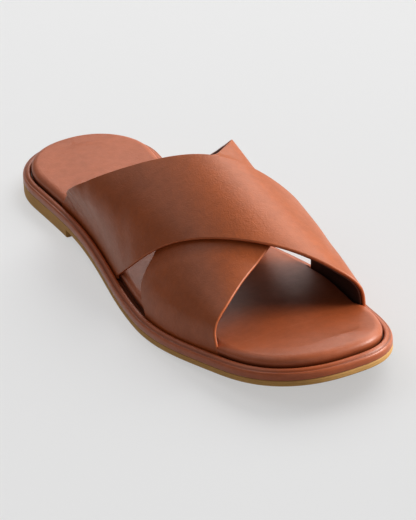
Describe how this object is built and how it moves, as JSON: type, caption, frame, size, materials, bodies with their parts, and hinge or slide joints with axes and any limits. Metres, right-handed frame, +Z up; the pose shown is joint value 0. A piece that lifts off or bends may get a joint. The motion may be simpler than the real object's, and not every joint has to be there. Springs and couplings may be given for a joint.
{
  "type": "cross strap sandal",
  "caption": "Slip-on leather sandal for the right foot, with wide crossed straps, a padded footbed, a rounded rand and a low-heeled gum outsole.",
  "frame": {"origin": "on the floor under the middle of the heel, 34 mm in front of the heel's back edge", "axes": "+Z up, -Y towards the toe, +X towards the medial side, where the arch and the big toe are"},
  "size_m": [0.0908, 0.256, 0.0609],
  "materials": {
    "outsole": "matt tan gum",
    "midsole": "smooth brown leather wrapped over a board, semi-gloss",
    "footbed": "smooth brown leather over padding, satin",
    "upper": "smooth brown leather with a brown leather lining, satin"
  },
  "bodies": {
    "root": {"outsole": "outsole", "midsole": "midsole", "footbed": "footbed", "upper": "upper"}
  },
  "joints": []
}
